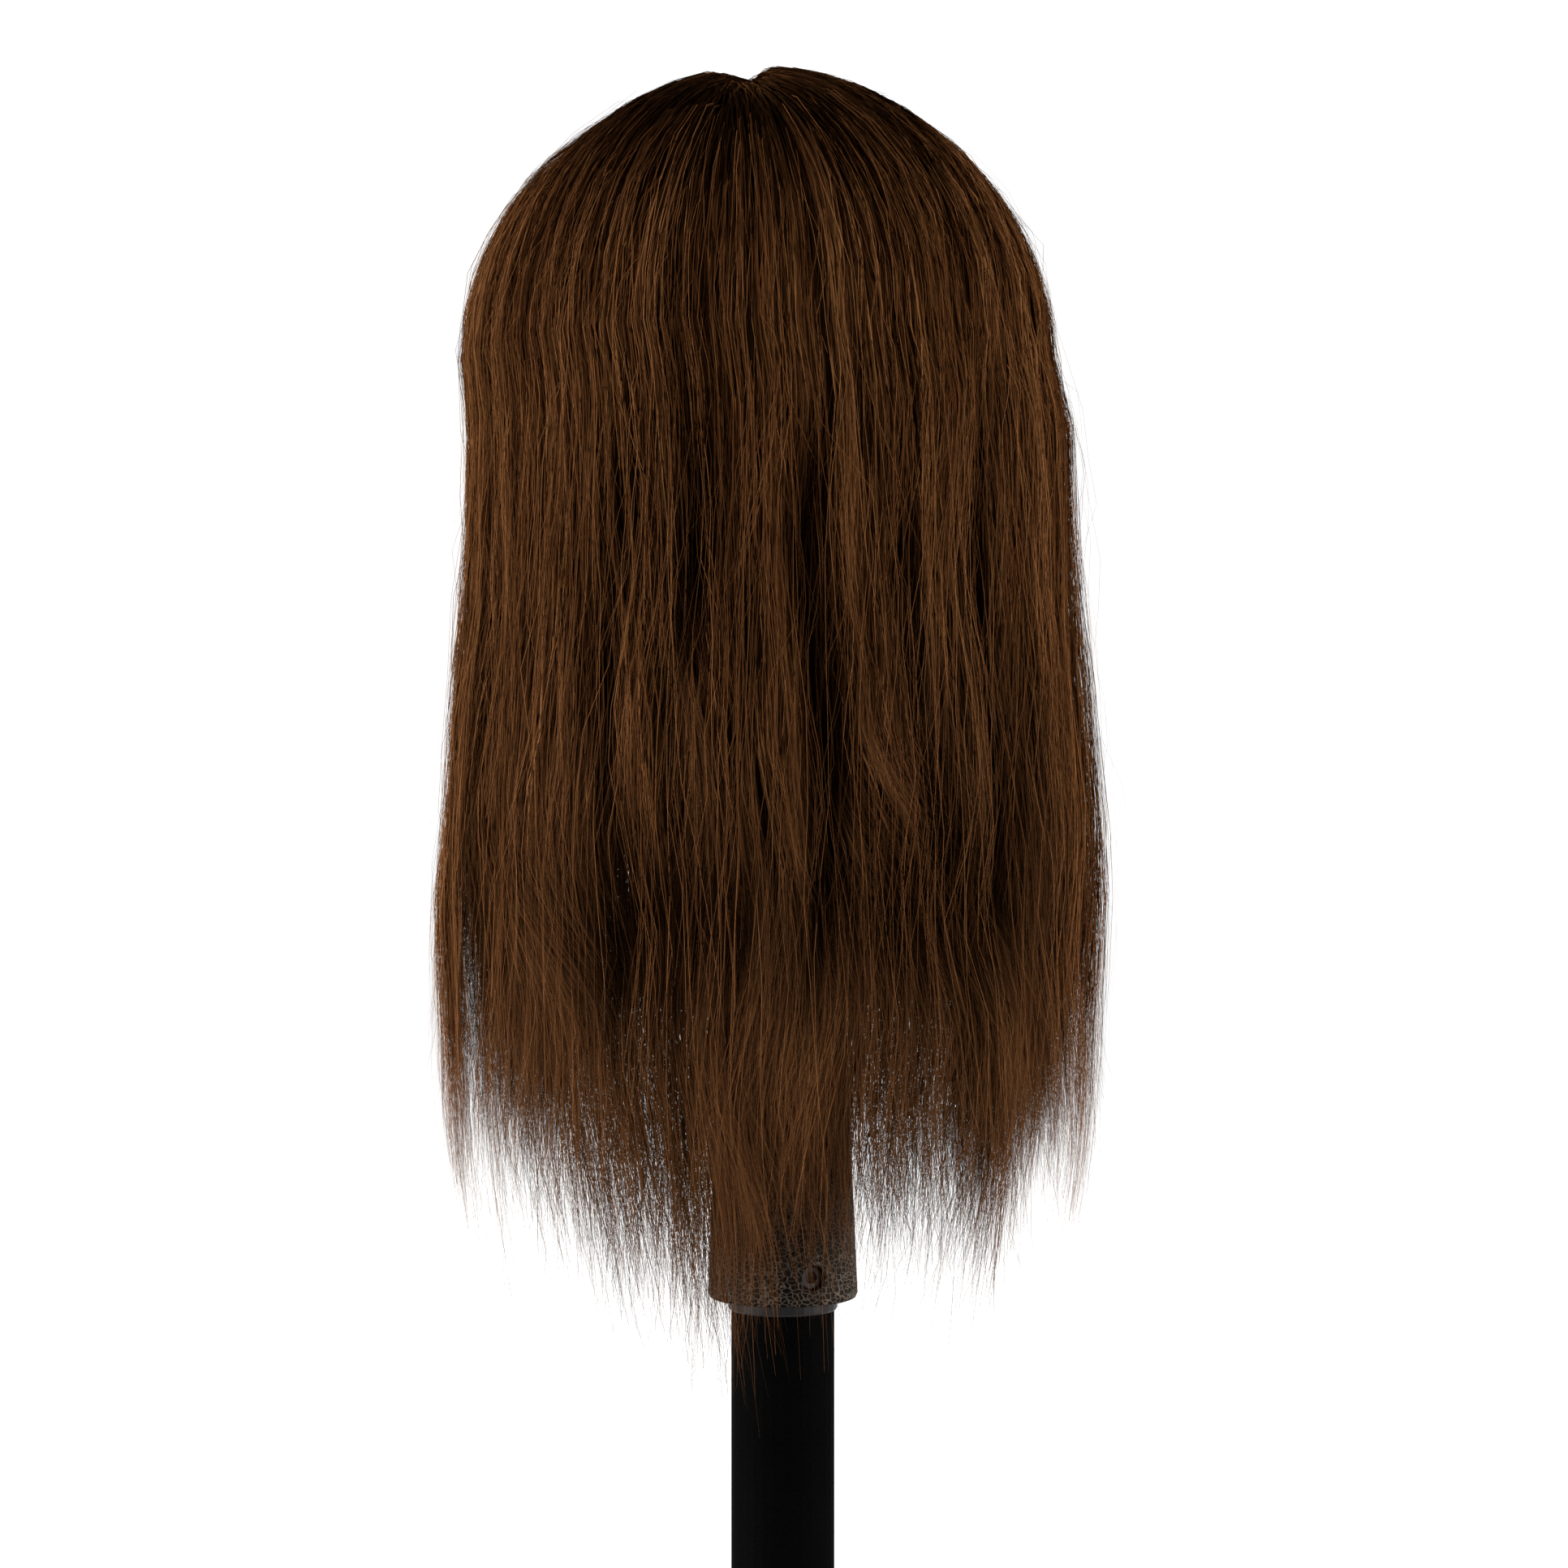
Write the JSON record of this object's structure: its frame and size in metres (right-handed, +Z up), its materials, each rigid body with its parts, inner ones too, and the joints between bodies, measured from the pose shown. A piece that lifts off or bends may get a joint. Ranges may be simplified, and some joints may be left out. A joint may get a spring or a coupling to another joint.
{
  "type": "mannequin training head",
  "caption": "Long-haired hairdressing practice head that pulls off a tapered holder cone, which swivels on a round post.",
  "frame": {"origin": "centre of the flat foot of the post, where the stand below takes it", "axes": "+Z up the post and through the head; -Y is the way the face looks; +X is the head's own left"},
  "size_m": [0.233, 0.2264, 0.545],
  "materials": {
    "tube_coating": "satin",
    "black_moulding": "satin",
    "wrinkle_coating": "satin",
    "gloss_bush": "gloss",
    "screw_steel": "satin",
    "skin_vinyl": "satin",
    "foam": "matte",
    "hair": "satin"
  },
  "bodies": {
    "post": {"post_tube": "tube_coating", "post_foot_plug": "black_moulding", "post_top_plug": "black_moulding"},
    "cone": {"holder_cone": "wrinkle_coating", "cone_cap": "wrinkle_coating", "lower_bush": "gloss_bush", "upper_bush": "gloss_bush", "thrust_washer": "screw_steel"},
    "lock_screw": {"lock_screw": "screw_steel"},
    "head": {"head_skin": "skin_vinyl", "foam_core": "foam", "neck_socket": "black_moulding", "base_plate": "black_moulding", "base_screw_1": "screw_steel", "base_screw_2": "screw_steel", "base_screw_3": "screw_steel", "eyelash_left": "hair", "eyelash_right": "hair", "hair_side_left": "hair", "hair_back_left": "hair", "hair_back_center": "hair", "hair_back_right": "hair", "hair_side_right": "hair", "hair_top_left": "hair", "hair_top_right": "hair"}
  },
  "joints": [
    {"name": "cone_swivel", "type": "hinge", "parent": "post", "child": "cone", "pos_m": [0, 0, 0.21], "axis": [0, 0, 1], "continuous": true},
    {"name": "head_lift", "type": "slide", "parent": "cone", "child": "head", "axis": [0, 0, 1], "range_m": [0, 0.2]},
    {"name": "lock_screw_travel", "type": "slide", "parent": "cone", "child": "lock_screw", "axis": [-0.4163, 0.9092, 0], "range_m": [0, 0.004]}
  ]
}
